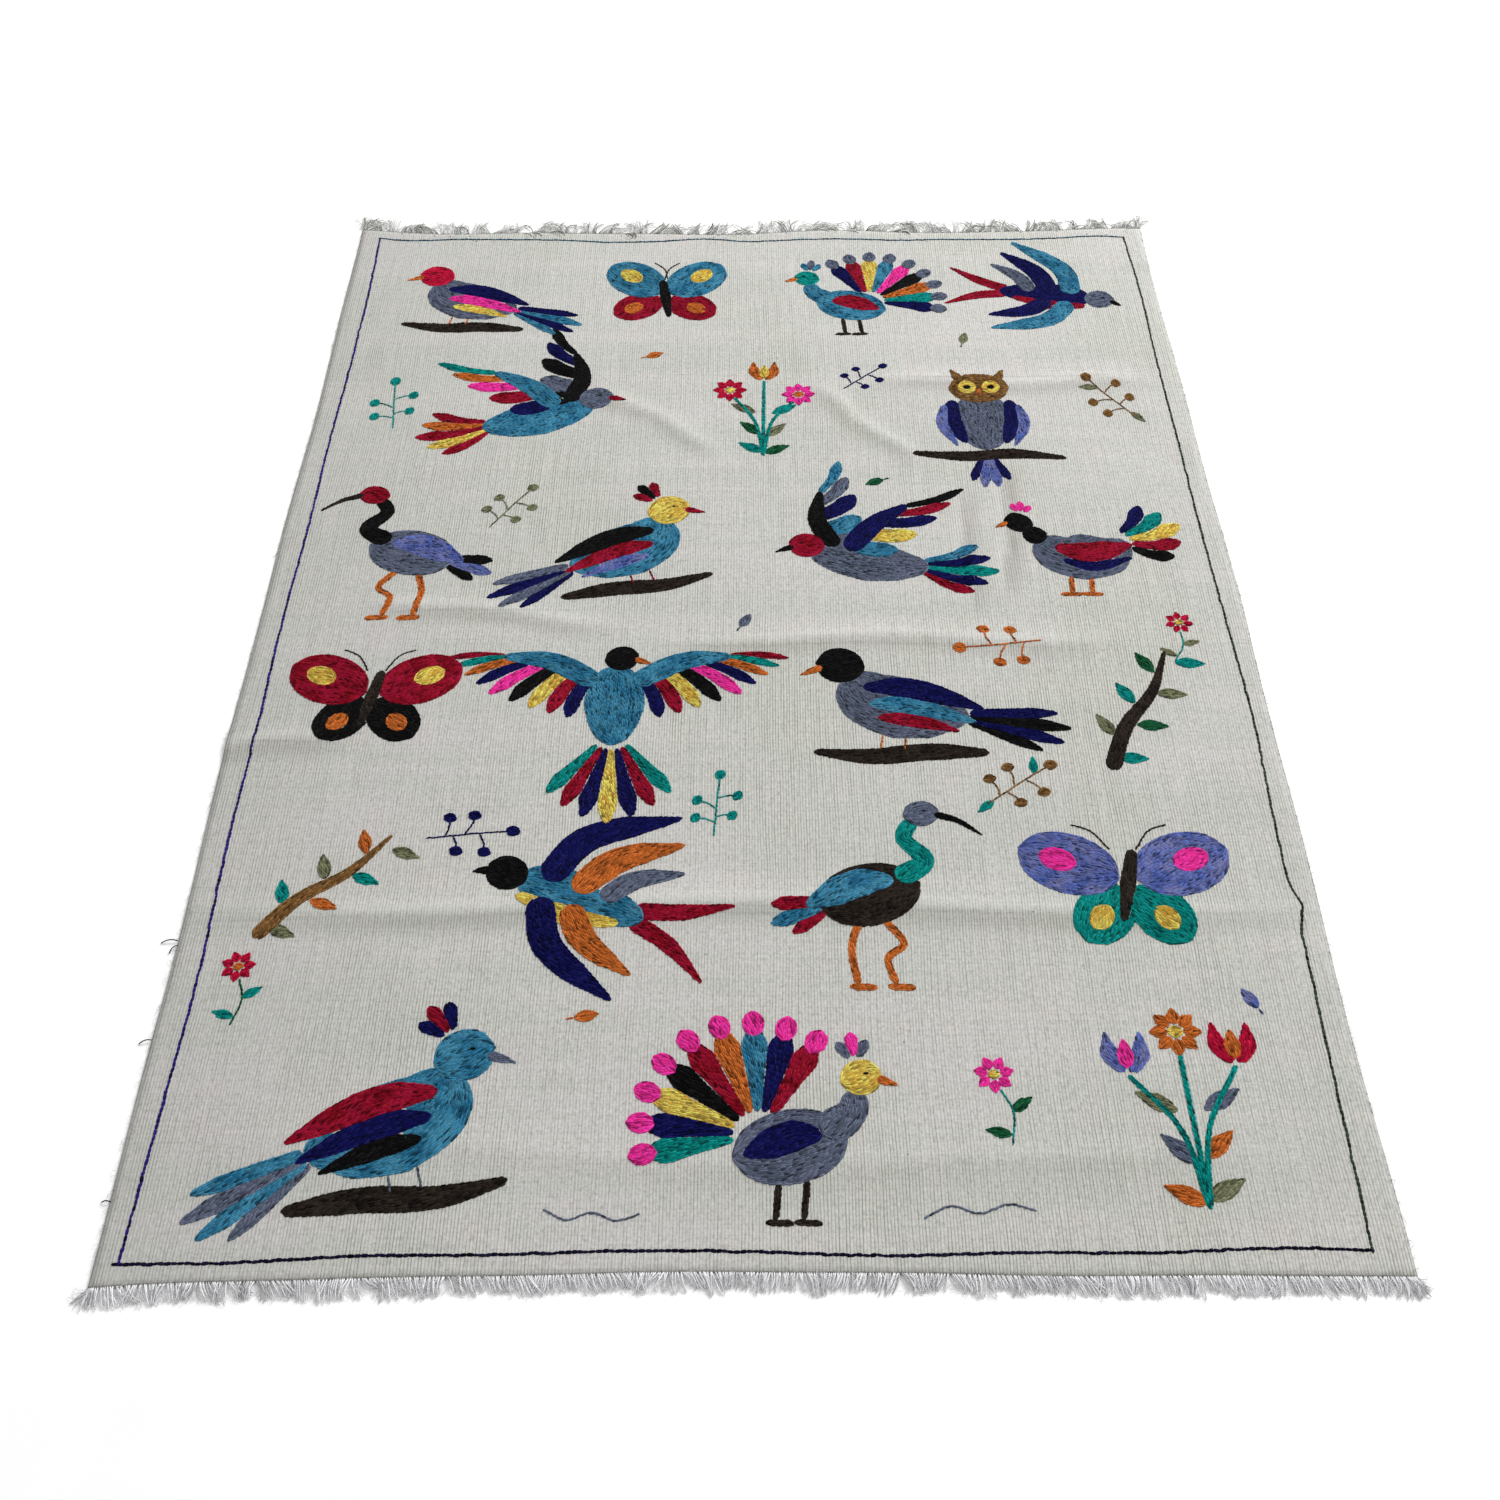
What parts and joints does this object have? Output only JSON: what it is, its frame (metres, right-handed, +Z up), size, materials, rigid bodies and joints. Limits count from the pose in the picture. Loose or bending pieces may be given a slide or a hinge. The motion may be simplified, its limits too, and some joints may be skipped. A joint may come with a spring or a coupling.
{
  "type": "embroidered kilim rug",
  "caption": "Flat-woven wool rug with embroidered motifs, a stitched border line and a fringe at each end, lying flat with soft fold lines.",
  "frame": {"origin": "on the floor, at the middle of the rug's footprint with its fringes", "axes": "+X across the rug, from its left selvedge to its right one; +Y along its length, from the near end with the short fringe to the far end; +Z up"},
  "size_m": [1.6186, 2.257, 0.008],
  "materials": {
    "ground_wool": "matte off-white wool, weft-faced weave with fine lengthwise ribs",
    "fringe_wool": "matte grey-cream twisted warp ends",
    "embroidery_wool": "thick matte wool yarn in many colours, in rows of short stitches"
  },
  "bodies": {
    "root": {"cloth": "ground_wool", "fringe_near": "fringe_wool", "fringe_far": "fringe_wool"}
  },
  "joints": []
}
